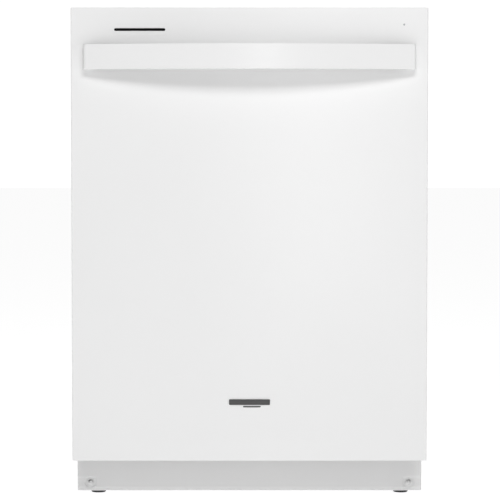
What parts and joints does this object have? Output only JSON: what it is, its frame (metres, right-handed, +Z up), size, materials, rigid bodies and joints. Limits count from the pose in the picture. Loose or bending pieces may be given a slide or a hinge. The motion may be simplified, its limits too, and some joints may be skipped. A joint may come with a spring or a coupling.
{
  "type": "built in dishwasher",
  "caption": "Built-in dishwasher with a plain drop-down door, bowed bar handle, hidden top controls, toe panel, pull-out racks, washing arms and levelling feet.",
  "frame": {"origin": "on the floor under the middle of the appliance's bounding box", "axes": "+Z up, +X to the right as seen from the front, -Y out through the door"},
  "size_m": [0.606, 0.67, 0.845],
  "materials": {
    "white_paint": "baked enamel paint on sheet steel, satin gloss",
    "stainless_tub": "drawn stainless sheet, fine brushed finish",
    "galvanised_steel": "galvanised pressed steel",
    "screw_steel": "bright plated steel",
    "black_rubber": "soft black sealing rubber",
    "felt_blanket": "pressed fibre sound blanket",
    "grey_plastic": "moulded grey polypropylene",
    "black_plastic": "moulded black plastic",
    "window_black": "gloss black display window",
    "key_grey": "smooth dark key cap",
    "badge_grey": "dark grey plain badge",
    "coated_wire": "nylon coated steel wire"
  },
  "bodies": {
    "root": {"tub_wrapper": "stainless_tub", "tub_back": "stainless_tub", "tub_floor": "stainless_tub", "tub_gasket": "black_rubber", "internal_hoses": "black_rubber", "insulation_blanket": "felt_blanket", "front_frame": "galvanised_steel", "base_frame": "galvanised_steel", "hinge_brackets": "galvanised_steel", "worktop_brackets": "galvanised_steel", "junction_box": "galvanised_steel", "toe_panel": "white_paint", "toe_panel_screws": "screw_steel", "latch_strike": "screw_steel", "balance_springs": "screw_steel", "heating_element": "screw_steel", "sump": "grey_plastic", "feed_tube": "grey_plastic", "float_switch": "grey_plastic", "upper_rack_rails": "grey_plastic", "drain_outlet": "grey_plastic", "wash_pump": "black_plastic", "drain_pump": "black_plastic", "inlet_valve": "black_plastic"},
    "foot_front_left": {"foot_front_left": "black_plastic"},
    "foot_front_right": {"foot_front_right": "black_plastic"},
    "foot_rear_left": {"foot_rear_left": "black_plastic"},
    "foot_rear_right": {"foot_rear_right": "black_plastic"},
    "spring_links": {"spring_links": "screw_steel"},
    "filter": {"filter_cup": "grey_plastic"},
    "lower_spray": {"lower_spray_arm": "grey_plastic"},
    "float": {"float": "grey_plastic"},
    "upper_slides": {"upper_rack_slides": "screw_steel"},
    "door": {"door_outer_panel": "white_paint", "handle": "white_paint", "door_liner": "stainless_tub", "door_insulation": "felt_blanket", "door_bottom_seal": "black_rubber", "door_screws": "screw_steel", "badge": "badge_grey", "console": "black_plastic", "control_board": "black_plastic", "status_window": "window_black", "latch_housing": "grey_plastic", "dispenser_body": "grey_plastic", "hinge_arms": "galvanised_steel"},
    "key_1": {"key_1": "key_grey"},
    "key_2": {"key_2": "key_grey"},
    "key_3": {"key_3": "key_grey"},
    "latch": {"latch_pawl": "screw_steel"},
    "dispenser_lid": {"dispenser_lid": "grey_plastic"},
    "rinse_cap": {"rinse_aid_cap": "grey_plastic"},
    "lower_rack": {"lower_rack_basket": "coated_wire", "silverware_basket": "grey_plastic"},
    "folding_tines": {"folding_tines": "coated_wire"},
    "front_wheels": {"front_rack_wheels": "grey_plastic"},
    "rear_wheels": {"rear_rack_wheels": "grey_plastic"},
    "upper_rack": {"upper_rack_basket": "coated_wire"},
    "upper_spray": {"upper_spray_arm": "grey_plastic"},
    "cup_shelf": {"cup_shelf": "coated_wire"}
  },
  "joints": [
    {"name": "door_hinge", "type": "hinge", "parent": "root", "child": "door", "pos_m": [0, -0.25, 0.112], "axis": [1, 0, 0], "range_deg": [0, 90], "stiffness_Nm_per_rad": 18},
    {"name": "spring_link_slide", "type": "slide", "parent": "root", "child": "spring_links", "axis": [0, -1, 0], "range_m": [0, 0.0567]},
    {"name": "lower_rack_slide", "type": "slide", "parent": "root", "child": "lower_rack", "axis": [0, -1, 0], "range_m": [0, 0.1252]},
    {"name": "front_wheel_roll", "type": "hinge", "parent": "lower_rack", "child": "front_wheels", "pos_m": [0, -0.15, 0.1563], "axis": [1, 0, 0], "range_deg": [0, 424]},
    {"name": "rear_wheel_roll", "type": "hinge", "parent": "lower_rack", "child": "rear_wheels", "pos_m": [0, 0.15, 0.1563], "axis": [1, 0, 0], "range_deg": [0, 424]},
    {"name": "tine_fold", "type": "hinge", "parent": "lower_rack", "child": "folding_tines", "pos_m": [0, 0.036, 0.192], "axis": [1, 0, 0], "range_deg": [-85, 0]},
    {"name": "upper_rail_slide", "type": "slide", "parent": "root", "child": "upper_slides", "axis": [0, -1, 0], "range_m": [0, 0.2202]},
    {"name": "upper_rack_slide", "type": "slide", "parent": "upper_slides", "child": "upper_rack", "axis": [0, -1, 0], "range_m": [0, 0.2202]},
    {"name": "cup_shelf_fold", "type": "hinge", "parent": "upper_rack", "child": "cup_shelf", "pos_m": [-0.234, 0, 0.56], "axis": [0, 1, 0], "range_deg": [-85, 0]},
    {"name": "upper_spray_spin", "type": "hinge", "parent": "upper_rack", "child": "upper_spray", "pos_m": [0, -0.01, 0.4465], "axis": [0, 0, 1], "continuous": true},
    {"name": "lower_spray_spin", "type": "hinge", "parent": "root", "child": "lower_spray", "pos_m": [0, -0.01, 0.157], "axis": [0, 0, 1], "continuous": true},
    {"name": "filter_twist", "type": "hinge", "parent": "root", "child": "filter", "pos_m": [0, -0.072, 0.138], "axis": [0, 0, 1], "range_deg": [0, 90]},
    {"name": "float_rise", "type": "slide", "parent": "root", "child": "float", "axis": [0, 0, 1], "range_m": [0, 0.012]},
    {"name": "dispenser_lid_slide", "type": "slide", "parent": "door", "child": "dispenser_lid", "axis": [-1, 0, 0], "range_m": [0, 0.058]},
    {"name": "rinse_cap_twist", "type": "hinge", "parent": "door", "child": "rinse_cap", "pos_m": [0.138, -0.221, 0.425], "axis": [0, 1, 0], "range_deg": [0, 90]},
    {"name": "latch_lift", "type": "hinge", "parent": "door", "child": "latch", "pos_m": [0, -0.266, 0.834], "axis": [1, 0, 0], "range_deg": [0, 7], "stiffness_Nm_per_rad": 0.4, "springref_deg": -11.46},
    {"name": "key_1_press", "type": "slide", "parent": "door", "child": "key_1", "axis": [0, 0, -1], "range_m": [0, 0.0015], "stiffness_N_per_m": 400, "springref_m": -0.001},
    {"name": "key_2_press", "type": "slide", "parent": "door", "child": "key_2", "axis": [0, 0, -1], "range_m": [0, 0.0015], "stiffness_N_per_m": 400, "springref_m": -0.001},
    {"name": "key_3_press", "type": "slide", "parent": "door", "child": "key_3", "axis": [0, 0, -1], "range_m": [0, 0.0015], "stiffness_N_per_m": 400, "springref_m": -0.001},
    {"name": "foot_front_left_screw", "type": "slide", "parent": "root", "child": "foot_front_left", "axis": [0, 0, -1], "range_m": [0, 0.025]},
    {"name": "foot_front_right_screw", "type": "slide", "parent": "root", "child": "foot_front_right", "axis": [0, 0, -1], "range_m": [0, 0.025]},
    {"name": "foot_rear_left_screw", "type": "slide", "parent": "root", "child": "foot_rear_left", "axis": [0, 0, -1], "range_m": [0, 0.025]},
    {"name": "foot_rear_right_screw", "type": "slide", "parent": "root", "child": "foot_rear_right", "axis": [0, 0, -1], "range_m": [0, 0.025]}
  ],
  "couplings": [
    {"joint": "spring_link_slide", "follows": "door_hinge", "m_per_rad": 0.036033},
    {"joint": "lower_rack_slide", "follows": "door_hinge", "m_per_rad": 0.079577},
    {"joint": "front_wheel_roll", "follows": "door_hinge", "ratio": 4.681},
    {"joint": "rear_wheel_roll", "follows": "door_hinge", "ratio": 4.681},
    {"joint": "upper_rail_slide", "follows": "door_hinge", "m_per_rad": 0.14006},
    {"joint": "upper_rack_slide", "follows": "door_hinge", "m_per_rad": 0.14006}
  ]
}
